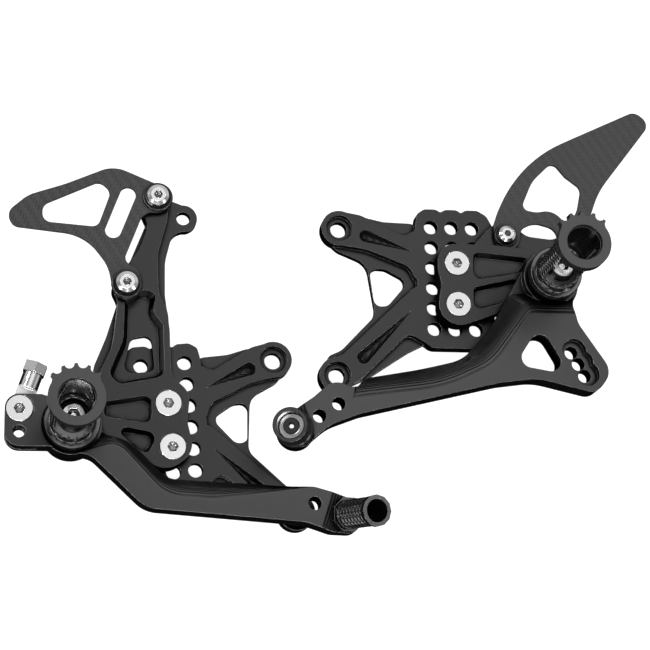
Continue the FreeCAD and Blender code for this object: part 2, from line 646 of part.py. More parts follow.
def foot_peg(side, axis):
    """Hollow grip barrel with collar rings; its underside is cut open over the bolt."""
    low, shoulder, end = size("peg_bottom"), size("peg_shoulder"), size("peg_end")
    floor, collar, barrel = size("peg_floor"), size("collar_radius"), size("peg_radius")
    body = new_body(side + "_foot_peg")
    revolve(body, [
        (4.2, low), (10.1, low), (10.1, low + 0.8), (15.2, low + 0.8), (15.2, 38.8),
        (collar - 0.5, 38.8), (collar, 39.3), (collar, 41.4), (collar - 1.1, 41.9),
        (collar - 1.1, 42.5), (collar, 43.0), (collar, shoulder - 0.5), (collar - 0.5, shoulder),
        (14.2, shoulder), (14.2, 46.8), (12.0, 47.6)]
        + ringed(48.2, 100.4, barrel, 1.5, 4.35)
        + [(12.2, size("flange_bottom")), (12.2, end), (10.5, end), (10.5, 64.0), (9.5, 63.0),
           (9.5, floor), (4.2, floor)])
    opening = new_sketch(body, "XZ_Plane")
    draw(opening, rounded([(-11.3, 55.5, 1.5), (11.3, 55.5, 1.5), (11.3, 97, 6), (-11.3, 97, 6)]), [])
    feature = body.newObject("PartDesign::Pocket", body.Name + "_opening")
    feature.Profile = opening
    feature.Length = barrel + 2
    feature.Reversed = True
    before = body.Shape.Volume
    body.Tip = feature
    doc.recompute()
    if body.Shape.Volume > before - 1:
        raise RuntimeError("the peg's opening removed nothing")
    return keep(place(body, *axis))


def peg_end_ring(side, axis):
    """Ring on the peg's outer end, with teeth on its upper side that grip the boot."""
    low, seat, top = "flange_bottom", "peg_end", "flange_top"
    rim, tip = size("flange_radius"), size("tooth_radius")
    first, pitch, teeth = 47.0, 22.5, 5
    body = new_body(side + "_peg_end_ring")
    pad(body, low, top, circles=[(0, 0, "tooth_radius")])
    start = math.radians(first - pitch / 2)
    stop = math.radians(first + (teeth - 0.5) * pitch)

    def at(radius, angle):
        return Vector(radius * math.cos(angle), radius * math.sin(angle), 0)

    middle = (stop + start + 2 * math.pi) / 2
    outer = tip + 3
    cut(body, top, low, [
        Part.Arc(at(rim, stop), at(rim, middle), at(rim, start)),
        Part.LineSegment(at(rim, start), at(outer, start)),
        Part.Arc(at(outer, start), at(outer, middle), at(outer, stop)),
        Part.LineSegment(at(outer, stop), at(rim, stop))])
    for index in range(teeth + 1):
        notch = at(tip + 0.2, math.radians(first + (index - 0.5) * pitch))
        cut(body, top, low, circles=[(notch.x, notch.y, "notch_radius")])
    cut(body, top, seat, circles=[(0, 0, "flange_bore_radius")])
    cut(body, seat, low, circles=[(0, 0, "flange_seat_radius")])
    return keep(place(body, *axis))


def peg_bolt(side, axis):
    """Socket-head screw that holds the foot peg to the pivot shaft."""
    floor, shank = size("peg_floor"), size("thread_m8_radius")
    top = floor + 8.0
    return keep(screw(side + "_peg_bolt", *axis, [
        (0, 16.0), (shank - 0.6, 16.0), (shank, 16.6), (shank, floor), (7.4, floor),
        (7.4, top - 1.2), (6.4, top)], 7.0, top, 4.5))


# ---------------------------------------------------------------- pedal and lever

# Passes of the cutter over a rolled edge, and the steepness it reaches, in degrees.
ROLL_PASSES = 7
ROLL_END = 40.0
# Where the roll ends, as a share of the way from the crest line out to the edge.
CREST_SHIFT = 0.4


def rolled_edge(body, face, crest, outer, closing):
    """Rolls an edge off in narrow passes from face to crest, then slopes it to the outer line."""
    sections = []
    crest = blend(crest, outer, CREST_SHIFT)
    end = math.radians(ROLL_END)
    for number in range(ROLL_PASSES + 1):
        angle = end * number / ROLL_PASSES
        across = math.sin(angle) / math.sin(end)
        down = (1 - math.cos(angle)) / (1 - math.cos(end))
        height = f"lever_top - (lever_top - crest_height) * {down}"
        sections.append((height, rounded(blend(face, crest, across) + closing)))
    sections.append(("slope_foot", rounded(outer + closing)))
    cut_between(body, sections)


def shift_lever():
    """Shift lever: long arm to the toe peg, and a heel-side tab with linkage holes."""
    body = new_body("shift_lever")
    low, high = "lever_bottom", "lever_top"
    pad(body, low, high, rounded([
        (-38, -128, 0), (-24, -118.5, 12), (-10, -106.5, 11), (3, -114, 7), (9, -104.3, 7),
        (42, -98.2, 60), (72, -91.5, 26), (93, -68, 40), (115.5, -30, 0), (132, -30, 0),
        (149.5, -40, 0), (144, -56, 8), (146.5, -68, 14), (167, -99, 11), (156, -113, 9),
        (118, -104, 40), (94, -107.2, 60), (6, -128, 22), (-14, -135.5, 30), (-28, -147.5, 0)]))
    pad(body, low, high, circles=[(*SHIFT_TOE, "lever_tip_radius")])
    face = [(0, -121, 0), (60, -113.5, 90), (94, -96, 40), (117.5, -64, 6), (154, -64, 0)]
    crest = [(4, -113, 0), (58, -106, 90), (87, -93, 34), (116, -56.5, 6), (154, -56.5, 0)]
    outer = [(7, -101.5, 0), (50, -93.5, 60), (78, -84.5, 26), (106, -46, 6), (154, -46, 0)]
    rolled_edge(body, face, crest, outer,
                [(154, -14, 0), (100, -14, 0), (60, -60, 0), (8, -80, 0)])
    pad(body, low, "hub_top", circles=[(*SHIFT_AXIS, "hub_radius")])
    # Rounded three-cornered window below the hub.
    cut(body, high, low, rounded([(121.5, -69.5, 7), (139.5, -101.5, 6.5), (104, -95.5, 6.5)]))
    linkage = [(142.0, -86.0), (146.3, -93.3), (150.0, -101.0)]
    cut(body, high, low, circles=[(x, y, "linkage_hole_radius") for x, y in linkage])
    for x, y in linkage:
        cut(body, high, "lever_top - linkage_head_depth", circles=[(x + 0.8, y + 0.4, "linkage_head_radius")])
    toe_holes = [(-8.2, -122.3), (-20.3, -130.2)]
    cut(body, high, low, circles=[(x, y, "toe_hole_radius") for x, y in toe_holes])
    cut(body, high, low, circles=[(*SHIFT_AXIS, "bearing_outer_radius")])
    return body


def brake_pedal():
    """Brake pedal: arm to the toe peg, and a slotted tail that holds the pushrod end."""
    body = new_body("brake_pedal")
    low, high = "lever_bottom", "lever_top"
    pad(body, low, high, rounded([
        (-209.7, -119.3, 8.6), (-188, -119.3, 0), (-170, -125, 0), (-152, -137, 0),
        (-150, -142, 8), (-133, -147.5, 10), (-113, -168.5, 14), (-60, -170.8, 0),
        (-24, -174, 12), (-4, -179.6, 8), (6, -186, 8), (3, -201.5, 8), (-14, -200.8, 10),
        (-30, -195.3, 20), (-126, -187.5, 20), (-158, -156.5, 12), (-180, -151, 20),
        (-209.7, -151, 9)]))
    face = [(-176, -160, 0), (-143, -149, 12), (-113, -182, 24), (-84, -183.5, 60), (-24, -174, 0)]
    crest = [(-170, -152, 0), (-144, -145.5, 12), (-115, -176, 20), (-84, -178, 60), (-27, -173.6, 0)]
    outer = [(-166, -142, 0), (-139, -138, 12), (-112, -164.5, 18), (-84, -168, 60), (-30, -172, 0)]
    rolled_edge(body, face, crest, outer,
                [(-30, -156, 0), (-110, -146, 0), (-140, -116, 0), (-170, -114, 0), (-187.5, -137, 0)])
    cut(body, high, "hub_top", circles=[(*BRAKE_AXIS, "hub_radius")])
    pad(body, low, "hub_top", circles=[(*BRAKE_AXIS, "hub_radius")])
    # Slot for the pushrod end, open at the top, the end and the bottom.
    cut(body, "fork_top", "fork_bottom", rounded([
        (-215, -115, 0), (-190.5, -115, 0), (-190.5, -155, 0), (-215, -155, 0)]))
    cut(body, high, low, circles=[(x, y, "thread_m8_radius") for x, y in FORK_HOLES])
    cut(body, high, "lever_top - plate_head_depth", circles=[(*CLEVIS_AT, "plate_seat_radius")])
    cut(body, high, low, circles=[(-24.3, -184.0, "toe_hole_radius")])
    cut(body, high, low, circles=[(*BRAKE_AXIS, "bearing_outer_radius")])
    return body


def bore_for_toe_peg(body, at, direction, out):
    """Canted hole for the toe peg's bolt, and a flat seat square to it."""
    upright = Vector(0, 0, 1)
    middle = (size("lever_bottom") + size("lever_top")) / 2
    tool = doc.addObject("Part::Cylinder", body.Name + "_toe_bore")
    tool.setExpression("Radius", bind("toe_hole_radius"))
    tool.Height = 60
    direction = Vector(direction).normalize()
    base = Vector(*at, middle) - direction * 30
    tool.Placement = Placement(base, Rotation(upright, direction))
    seat = doc.addObject("Part::Cylinder", body.Name + "_toe_seat")
    seat.Radius = 22
    seat.Height = 30
    base = Vector(*at, middle) + direction * out
    seat.Placement = Placement(base, Rotation(upright, direction))
    tools = doc.addObject("Part::MultiFuse", body.Name + "_toe_tools")
    tools.Shapes = [tool, seat]
    result = doc.addObject("Part::Cut", body.Name + "_seated")
    result.Base = body
    result.Tool = tools
    body.Label = body.Name + "_blank"
    result.Label = body.Name
    doc.recompute()
    return keep(result)


def toe_frame(at, direction, out):
    """Placement whose Z runs out along a toe peg from its seat."""
    direction = Vector(direction).normalize()
    middle = (size("lever_bottom") + size("lever_top")) / 2
    return Placement(Vector(*at, middle) + direction * out,
                     Rotation(Vector(0, 0, 1), direction))


def turned(name, profile, placement):
    body = new_body(name)
    revolve(body, profile)
    body.Placement = placement
    return keep(body)


def brake_toe_peg():
    """Knurled fixed toe peg with a many-sided collar and end, and the bolt inside it."""
    place_at = toe_frame(BRAKE_TOE, BRAKE_TOE_CANT, BRAKE_TOE_SEAT)
    body = new_body("brake_toe_peg")
    revolve(body, [(4.2, 0), (9.0, 0), (9.0, 2.5), (8.0, 4.5)]
            + ringed(5.0, 33.5, 8.9, 1.2, 4.0)
            + [(8.4, 34.0), (8.4, 38.0), (7.0, 38.0), (7.0, 8.0), (4.2, 8.0)])
    pad(body, "0", "toe_collar_height", polygon(0, 0, 8, 20.4, 22.5), [(0, 0, "toe_hole_radius + 0.1")])
    pad(body, "34.5", "38", polygon(0, 0, 12, 18.4), [(0, 0, "toe_bore_radius")])
    body.Placement = place_at
    keep(body)
    bolt = new_body("brake_toe_peg_bolt")
    revolve(bolt, [(0, -10), (3.9, -10), (3.9, 8), (6.4, 8), (6.4, 14.6), (5.8, 15.2), (0, 15.2)])
    cut(bolt, "15.2", "11", polygon(0, 0, 6, 6.0))
    bolt.Placement = place_at
    keep(bolt)


def shift_toe_peg():
    """Toe peg with a smooth sleeve that turns on a bush round its bolt."""
    place_at = toe_frame(SHIFT_TOE, SHIFT_TOE_CANT, SHIFT_TOE_SEAT)
    turned("shift_toe_sleeve", [
        (5.9, 1.0), (10.6, 1.0), (11.6, 1.8), (11.6, 6.5), (10.6, 7.6), (10.0, 9.0), (10.0, 10.5),
        (10.7, 11.8), (10.7, 22.4), (10.1, 23.0), (8.8, 23.0), (8.2, 22.4), (8.2, 12.5),
        (5.9, 12.5)], place_at)
    turned("shift_toe_bush", [(4.2, 0.4), (5.85, 0.4), (5.85, 12.9), (4.2, 12.9)], place_at)
    turned("shift_toe_base_washer", [(4.2, 0), (9.4, 0), (9.4, 0.4), (4.2, 0.4)], place_at)
    turned("shift_toe_cap_washer", [(4.2, 12.9), (7.8, 12.9), (7.8, 13.7), (4.2, 13.7)], place_at)
    bolt = new_body("shift_toe_bolt")
    top, key, depth = 17.6, 4.0, 2.6
    revolve(bolt, [(0, -10), (3.9, -10), (3.9, 13.7), (5.0, 13.7), (5.0, top - 0.4), (4.6, top)]
            + drilled(key, top, depth))
    cut(bolt, f"{top}", f"{top - depth}", polygon(0, 0, 6, key))
    bolt.Placement = place_at
    keep(bolt)


def pushrod_end():
    """Hexagon-ended coupling that hangs in the pedal's slot, and the screw it turns on."""
    body = new_body("brake_pushrod_end")
    middle = (size("fork_bottom") + size("fork_top")) / 2
    low, high = f"{middle - 2.2}", f"{middle + 2.2}"
    # Drawn along +X from the eye, then turned to its rest angle.
    pad(body, low, high, slot((0, 0), (13, 0), 5.9))
    sketch = new_sketch(body, "YZ_Plane", "14.4")
    draw(sketch, [], [(0, middle, "pushrod_body_radius")])
    barrel = body.newObject("PartDesign::Pad", "pushrod_barrel")
    barrel.Profile = sketch
    barrel.Length = 10.6
    body.Tip = barrel
    doc.recompute()
    sketch = new_sketch(body, "YZ_Plane", "24")
    draw(sketch, polygon(0, middle, 6, 13.0, 30), [])
    nut = body.newObject("PartDesign::Pad", "pushrod_hexagon")
    nut.Profile = sketch
    nut.Length = 6.5
    body.Tip = nut
    doc.recompute()
    sketch = new_sketch(body, "YZ_Plane", "30.5")
    draw(sketch, [], [(0, middle, "pushrod_thread_radius")])
    bore = body.newObject("PartDesign::Pocket", "pushrod_thread")
    bore.Profile = sketch
    bore.Length = 15
    body.Tip = bore
    doc.recompute()
    cut(body, high, low, circles=[(0, 0, "thread_m8_radius + 0.08")])
    keep(place(body, *CLEVIS_AT, turn=CLEVIS_TURN))
    top, shank, head = size("lever_top"), size("thread_m8_radius"), size("plate_head_radius")
    keep(screw("brake_pushrod_screw", *CLEVIS_AT, [
        (0, 23.6), (shank, 23.6), (shank, top - size("plate_head_depth")), (head, top - 1.0),
        (head, top - 0.2), (head - 0.2, top)], size("plate_key"), top, size("plate_key_depth")))


# ---------------------------------------------------------------- assembly

def build():
    frame_plate("brake")
    frame_plate("shift")
    brake_carrier()
    shift_carrier()
    heel_guards()
    for side in ("brake", "shift"):
        plate_screws(side)
    guard_screws("brake", size("carrier_top"), size("spacer_thickness"), 7.8, 4.6)
    guard_screws("shift", size("shift_ledge_top"), 0, 6.3, 3.8)
    for side, axis in (("brake", BRAKE_AXIS), ("shift", SHIFT_AXIS)):
        pivot(side, axis)
        foot_peg(side, axis)
        peg_end_ring(side, axis)
        peg_bolt(side, axis)
    bore_for_toe_peg(brake_pedal(), BRAKE_TOE, BRAKE_TOE_CANT, BRAKE_TOE_SEAT)
    bore_for_toe_peg(shift_lever(), SHIFT_TOE, SHIFT_TOE_CANT, SHIFT_TOE_SEAT)
    brake_toe_peg()
    shift_toe_peg()
    pushrod_end()


def check():
    """Stops if any object failed or any sub-part is empty or broken."""
    for item in doc.Objects:
        if "Invalid" in item.State or "Error" in item.State:
            raise RuntimeError(f"{item.Name} failed: {item.State}")
    for node in nodes:
        if node.Shape.isNull() or not node.Shape.isValid():
            raise RuntimeError(f"{node.Label} has no valid shape")


def write():
    os.makedirs("parts", exist_ok=True)
    for node in nodes:
        node.Shape.exportStep(f"parts/{node.Label}.step")
        solids, volume = len(node.Shape.Solids), node.Shape.Volume
        print(f"{node.Label}: {solids} solids, {volume / 1000:.2f} cm3")


build()
doc.recompute()
check()
write()
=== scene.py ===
"""Looks of a pair of motorcycle rear sets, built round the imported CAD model.

Lengths are in metres, except that those multiplied by MM where they are used are in millimetres.
"""
from collections import namedtuple
import json
import math

import bmesh
import bpy
from mathutils import Matrix, Vector


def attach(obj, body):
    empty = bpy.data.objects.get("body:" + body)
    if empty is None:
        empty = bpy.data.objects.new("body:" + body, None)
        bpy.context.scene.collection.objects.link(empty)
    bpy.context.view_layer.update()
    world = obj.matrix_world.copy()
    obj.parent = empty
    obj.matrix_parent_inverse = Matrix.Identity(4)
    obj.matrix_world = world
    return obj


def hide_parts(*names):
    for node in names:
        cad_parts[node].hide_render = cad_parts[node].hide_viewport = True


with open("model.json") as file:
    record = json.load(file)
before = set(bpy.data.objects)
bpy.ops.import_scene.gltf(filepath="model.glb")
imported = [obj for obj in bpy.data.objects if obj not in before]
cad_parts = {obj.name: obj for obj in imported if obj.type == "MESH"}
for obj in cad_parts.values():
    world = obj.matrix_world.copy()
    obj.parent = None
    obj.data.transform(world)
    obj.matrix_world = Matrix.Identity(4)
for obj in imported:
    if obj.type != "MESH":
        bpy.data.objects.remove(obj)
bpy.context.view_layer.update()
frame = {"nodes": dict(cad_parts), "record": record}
nodes = frame["nodes"]
MM = 0.001


# ---------------------------------------------------------------- camera, floor and light

VIEW_TARGET = Vector((-9.1, -62.0, 0.0)) * MM
VIEW_DISTANCE = 1.263
VIEW_TILT = 18.15          # degrees off the vertical
VIEW_HEADING = 238.2       # degrees, the side of the object that the camera leans to
LENS = 109.8               # millimetres
SENSOR_WIDTH = 36          # millimetres
FAR_CLIP = 20

# Brightness of the surroundings by height above the horizon (sine of the angle).
SKY = ((-0.04, 0.01), (0.08, 0.7), (0.34, 0.7), (0.55, 0.2), (1.0, 0.3))
FLOOR_HALF_WIDTH = 7.0
FLOOR_GAP = 0.0006         # under the plates' back faces
FLOOR_TONE = 0.4
FLOOR_ROUGHNESS = 0.9
FLOOR_GLOSS = 0.1
FLOOR_GLOW = 0.88
SOFTBOX_DISTANCE = 1.6
SOFTBOX_ACROSS = 1.2
DARK_KEY = 19              # watts on the black parts
BRIGHT_KEY = 2.8           # watts on the bright metal parts and the floor
FRONT_ACROSS = 0.5
FRONT_KEY = 10             # watts on the same, from behind the camera
BORE_KEY = 5               # watts on the smooth black parts and the grips, from the same place
# Softboxes for the faces of the canted toe pegs: heading, height, size in metres, watts.
TOE_KEYS = ((7, 44, 0.68, 6), (165, 65, 0.5, 3))
RIM_LIGHTS = 6             # low lights on the camera's side, for the edges and grips of the black parts
RIM_HEADINGS = (170, 320)  # degrees
RIM_HEIGHT = 14            # degrees above the floor
RIM_ACROSS = 0.5
RIM_POWER = 6              # watts each
STRIPS = 6                 # small lights all round, on everything
STRIP_HEIGHT = 42          # degrees above the floor
STRIP_DISTANCE = 1.3       # also that of the rim lights
STRIP_ACROSS = 0.14
STRIP_POWER = 2            # watts each


def grey(tone):
    return (tone, tone, tone)


def direction(heading, height):
    """Unit vector to a heading and a height above the floor, both in degrees."""
    turn, rise = math.radians(heading), math.radians(height)
    return Vector((math.cos(turn) * math.cos(rise), math.sin(turn) * math.cos(rise), math.sin(rise)))


def add_camera():
    """Camera almost overhead, leaning towards the pegs' undersides."""
    back = direction(VIEW_HEADING, 90 - VIEW_TILT)
    turn = Vector((0, 0, 1)).rotation_difference(back)
    camera = bpy.data.objects.new("camera", bpy.data.cameras.new("camera"))
    bpy.context.scene.collection.objects.link(camera)
    camera.matrix_world = Matrix.Translation(VIEW_TARGET + back * VIEW_DISTANCE) @ turn.to_matrix().to_4x4()
    camera.data.lens = LENS
    camera.data.sensor_width = SENSOR_WIDTH
    camera.data.clip_end = FAR_CLIP
    bpy.context.scene.camera = camera


def add_area_light(name, place, across, power):
    """Round softbox that faces the middle of the view."""
    light = bpy.data.lights.new(name, "AREA")
    light.shape = "DISK"
    light.size = across
    light.energy = power
    holder = bpy.data.objects.new(name, light)
    bpy.context.scene.collection.objects.link(holder)
    holder.location = place
    holder.rotation_euler = (VIEW_TARGET - place).to_track_quat("-Z", "Y").to_euler()
    return holder


def add_floor():
    """Pale floor with a little glow of its own, so that shadows stay faint; the parts do not mirror it."""
    mesh = bpy.data.meshes.new("floor")
    half = FLOOR_HALF_WIDTH
    mesh.from_pydata([(-half, -half, 0), (half, -half, 0), (half, half, 0), (-half, half, 0)], [],
                     [(0, 1, 2, 3)])
    floor = bpy.data.objects.new("floor", mesh)
    floor.location.z = -FLOOR_GAP
    floor.visible_glossy = False
    bpy.context.scene.collection.objects.link(floor)
    material = bpy.data.materials.new("floor")
    material.use_nodes = True
    shader = material.node_tree.nodes["Principled BSDF"]
    shader.inputs["Base Color"].default_value = (*grey(FLOOR_TONE), 1)
    shader.inputs["Roughness"].default_value = FLOOR_ROUGHNESS
    shader.inputs["Specular IOR Level"].default_value = FLOOR_GLOSS
    shader.inputs["Emission Color"].default_value = (1, 1, 1, 1)
    shader.inputs["Emission Strength"].default_value = FLOOR_GLOW
    floor.data.materials.append(material)
    return floor


def add_sky():
    """Surroundings that are dark below, with a bright band just above the horizon."""
    world = bpy.data.worlds.new("studio")
    bpy.context.scene.world = world
    world.use_nodes = True
    tree = world.node_tree
    place = tree.nodes.new("ShaderNodeTexCoord")
    split = tree.nodes.new("ShaderNodeSeparateXYZ")
    height = tree.nodes.new("ShaderNodeMapRange")
    height.inputs["From Min"].default_value = -1
    ramp = tree.nodes.new("ShaderNodeValToRGB")
    stops = ramp.color_ramp.elements
    while len(stops) < len(SKY):
        stops.new(1.0)
    for stop, (sine, brightness) in zip(stops, SKY):
        stop.position = (sine + 1) / 2
        stop.color = (*grey(brightness), 1)
    tree.links.new(place.outputs["Generated"], split.inputs["Vector"])
    tree.links.new(split.outputs["Z"], height.inputs["Value"])
    tree.links.new(height.outputs["Result"], ramp.inputs["Fac"])
    tree.links.new(ramp.outputs["Color"], tree.nodes["Background"].inputs["Color"])


def add_lights():
    """Softboxes where the flat faces mirror them, two behind the camera, low rims and strips all round.

    Returns the lights that shine on one group of parts only, by group.
    """
    place = VIEW_TARGET + direction(VIEW_HEADING + 180, 90 - VIEW_TILT) * SOFTBOX_DISTANCE
    keys = {"dark": [add_area_light("dark_key", place, SOFTBOX_ACROSS, DARK_KEY)],
            "bright": [add_area_light("bright_key", place, SOFTBOX_ACROSS, BRIGHT_KEY)],
            "toe": [], "turned": []}
    place = VIEW_TARGET + direction(VIEW_HEADING, 90 - VIEW_TILT) * SOFTBOX_DISTANCE
    keys["bright"].append(add_area_light("front_key", place, FRONT_ACROSS, FRONT_KEY))
    keys["turned"].append(add_area_light("bore_key", place, FRONT_ACROSS, BORE_KEY))
    for number, (heading, height, across, power) in enumerate(TOE_KEYS):
        place = VIEW_TARGET + direction(heading, height) * SOFTBOX_DISTANCE
        keys["toe"].append(add_area_light(f"toe_key_{number}", place, across, power))
    first, last = RIM_HEADINGS
    for number in range(RIM_LIGHTS):
        heading = first + (last - first) * number / (RIM_LIGHTS - 1)
        place = VIEW_TARGET + direction(heading, RIM_HEIGHT) * STRIP_DISTANCE
        keys["dark"].append(add_area_light(f"rim_{number}", place, RIM_ACROSS, RIM_POWER))
    for number in range(STRIPS):
        place = VIEW_TARGET + direction(360 * (number + 0.5) / STRIPS, STRIP_HEIGHT) * STRIP_DISTANCE
        add_area_light(f"strip_{number}", place, STRIP_ACROSS, STRIP_POWER)
    bpy.context.scene.view_settings.view_transform = "Standard"
    return keys


def share_lights(lights, name, lit):
    """Limits some lights to the objects in lit."""
    group = bpy.data.collections.new(name)
    for piece in lit:
        group.objects.link(piece)
    for light in lights:
        light.light_linking.receiver_collection = group


# ---------------------------------------------------------------- material helpers

BEVEL_SAMPLES = 6
CORNER_SHADE_SAMPLES = 8
UNMARKED_FACING = 0.99       # cosines of the angle between a face and its rounded normal, bounding the mask of worn edges with a painted highlight
WORN_AND_HIGHLIT_FACING = 0.85


class Shader:
    """A material's node tree, with short calls to build it."""

    def __init__(self, name, color, metallic, roughness):
        self.material = bpy.data.materials.new(name)
        self.material.use_nodes = True
        self.tree = self.material.node_tree
        self.surface = self.tree.nodes["Principled BSDF"]
        self.surface.inputs["Base Color"].default_value = (*color, 1)
        self.surface.inputs["Metallic"].default_value = metallic
        self.surface.inputs["Roughness"].default_value = roughness
        self.place = self.add("ShaderNodeTexCoord").outputs["Object"]

    def add(self, kind, **settings):
        node = self.tree.nodes.new(kind)
        for key, value in settings.items():
            setattr(node, key, value)
        return node

    def link(self, output, entry):
        self.tree.links.new(output, entry)

    def split(self, vector):
        node = self.add("ShaderNodeSeparateXYZ")
        self.link(vector, node.inputs["Vector"])
        return node.outputs

    def math(self, operation, first, second=None):
        node = self.add("ShaderNodeMath", operation=operation)
        for entry, value in zip(node.inputs, (first, second)):
            if isinstance(value, (int, float)):
                entry.default_value = value
            elif value is not None:
                self.link(value, entry)
        return node.outputs[0]

    def distance_from_line(self, foot, along):
        """Distance from the line through foot; along is its unit direction."""
        reach = self.add("ShaderNodeVectorMath", operation="SUBTRACT")
        self.link(self.place, reach.inputs[0])
        reach.inputs[1].default_value = foot
        across = self.add("ShaderNodeVectorMath", operation="CROSS_PRODUCT")
        self.link(reach.outputs["Vector"], across.inputs[0])
        across.inputs[1].default_value = along
        length = self.add("ShaderNodeVectorMath", operation="LENGTH")
        self.link(across.outputs["Vector"], length.inputs[0])
        return length.outputs["Value"]

    def noise(self, scale, detail=2.0, stretch=(1, 1, 1)):
        mapping = self.add("ShaderNodeMapping")
        mapping.inputs["Scale"].default_value = stretch
        self.link(self.place, mapping.inputs["Vector"])
        node = self.add("ShaderNodeTexNoise")
        node.inputs["Scale"].default_value = scale
        node.inputs["Detail"].default_value = detail
        self.link(mapping.outputs["Vector"], node.inputs["Vector"])
        return node.outputs["Fac"]

    def spread(self, value, low, high):
        """Maps 0..1 onto low..high."""
        node = self.add("ShaderNodeMapRange")
        node.inputs["To Min"].default_value = low
        node.inputs["To Max"].default_value = high
        self.link(value, node.inputs["Value"])
        return node.outputs["Result"]

    def paint(self, color):
        self.link(color, self.surface.inputs["Base Color"])

    def mask(self, value, zero_at, one_at):
        """0 to 1 with soft ends, as value goes from zero_at to one_at."""
        node = self.add("ShaderNodeMapRange", interpolation_type="SMOOTHSTEP")
        node.inputs["From Min"].default_value = zero_at
        node.inputs["From Max"].default_value = one_at
        self.link(value, node.inputs["Value"])
        return node.outputs["Result"]

    def rounded(self, width):
        """Normal rounded over a small edge break."""
        node = self.add("ShaderNodeBevel", samples=BEVEL_SAMPLES)
        node.inputs["Radius"].default_value = width
        return node.outputs["Normal"]

    def worn_and_highlit(self, rounded):
        """1 on the edge breaks of a rounded normal, 0 on the faces: the mask of worn edges with a painted
        highlight.
        """
        facing = self.add("ShaderNodeVectorMath", operation="DOT_PRODUCT")
        self.link(rounded, facing.inputs[0])
        self.link(self.add("ShaderNodeNewGeometry").outputs["Normal"], facing.inputs[1])
        return self.mask(facing.outputs["Value"], UNMARKED_FACING, WORN_AND_HIGHLIT_FACING)

    def corner_shade_mask(self, distance, open_share=0.85, shut_share=0.5):
        """1 in the open, falling to 0 in inner corners, as deep as distance: the mask of painted shade in
        corners.
        """
        shade = self.add("ShaderNodeAmbientOcclusion", samples=CORNER_SHADE_SAMPLES)
        shade.inputs["Distance"].default_value = distance
        return self.mask(shade.outputs["AO"], shut_share, open_share)

    def mix(self, share, first, second):
        """Blend of two colours; each is a socket or three numbers."""
        node = self.add("ShaderNodeMix", data_type="RGBA")
        self.link(share, node.inputs[0])
        for entry, value in ((node.inputs[6], first), (node.inputs[7], second)):
            if isinstance(value, tuple):
                entry.default_value = (*value, 1)
            else:
                self.link(value, entry)
        return node.outputs[2]

    def bump(self, height, depth, normal=None):
        node = self.add("ShaderNodeBump")
        node.inputs["Distance"].default_value = depth
        self.link(height, node.inputs["Height"])
        if normal is not None:
            self.link(normal, node.inputs["Normal"])
        self.link(node.outputs["Normal"], self.surface.inputs["Normal"])
        return node.outputs["Normal"]


# ---------------------------------------------------------------- materials

CUTTER_STEP = 0.0006
CUTTER_DEPTH = 0.00016
MOTTLE_SCALE = 60          # noise scales are in cells for each metre
MOTTLE_DETAIL = 4
MILLED_GRAIN_SCALE = 2600
MILLED_GRAIN_DEPTH = 0.00003
TURNED_GRAIN_SCALE = 2200
TURNED_GRAIN_DEPTH = 0.000012
SCRATCH_SCALE = 900
SCRATCH_DETAIL = 3
SCRATCH_DEPTH = 0.000005
LIGHT_GRAIN_SCALE = 1500
LIGHT_GRAIN_DEPTH = 0.00002
MILLED_EDGE = 0.0005       # widths of broken edges
TURNED_EDGE = 0.0004
FINE_EDGE = 0.0003
MILLED_CORNER_SHADE = 0.005        # how deep the painted shade in inner corners reaches
TURNED_CORNER_SHADE = 0.006
SOCKET_CORNER_SHADE = 0.004
ANODISED_TINT = 0.25       # share of the light mirrored at a grazing angle
SOCKET_MARGIN = 0.3        # a socket's shading starts this far below the top of the bolt
TOW_WIDTH = 2.0
WEAVE_TURN = 12            # degrees
WEAVE_DEPTH = 0.00006


def black_anodised(name, dark, light, rough=0.3, edge=0.16):
    """Milled and anodised aluminium: cutter steps down its slopes, faint mottling, broken edges lighter with
    wear and a painted highlight, painted shade in inner corners.
    """
    shader = Shader(name, grey(dark), 1.0, rough)
    shader.surface.inputs["Specular Tint"].default_value = (*grey(ANODISED_TINT), 1)
    mottle = shader.noise(MOTTLE_SCALE, MOTTLE_DETAIL)
    rounded = shader.rounded(MILLED_EDGE)
    steps = shader.math("PINGPONG", shader.split(shader.place)["Z"], CUTTER_STEP / 2)
    steps = shader.math("MULTIPLY", steps, 2 / CUTTER_STEP)
    stepped = shader.bump(steps, CUTTER_DEPTH, rounded)
    face = shader.mix(mottle, (dark, dark, dark * 1.03), (light, light, light * 1.03))
    # painted shade: darker in inner corners
    corner_shaded = shader.mix(shader.corner_shade_mask(MILLED_CORNER_SHADE), grey(dark * 0.1), face)
    # broken edges lighter: wear and a painted highlight
    shader.paint(shader.mix(shader.worn_and_highlit(rounded), corner_shaded, grey(edge)))
    shader.link(shader.spread(mottle, rough - 0.05, rough + 0.06), shader.surface.inputs["Roughness"])
    shader.bump(shader.noise(MILLED_GRAIN_SCALE), MILLED_GRAIN_DEPTH, stepped)
    return shader.material


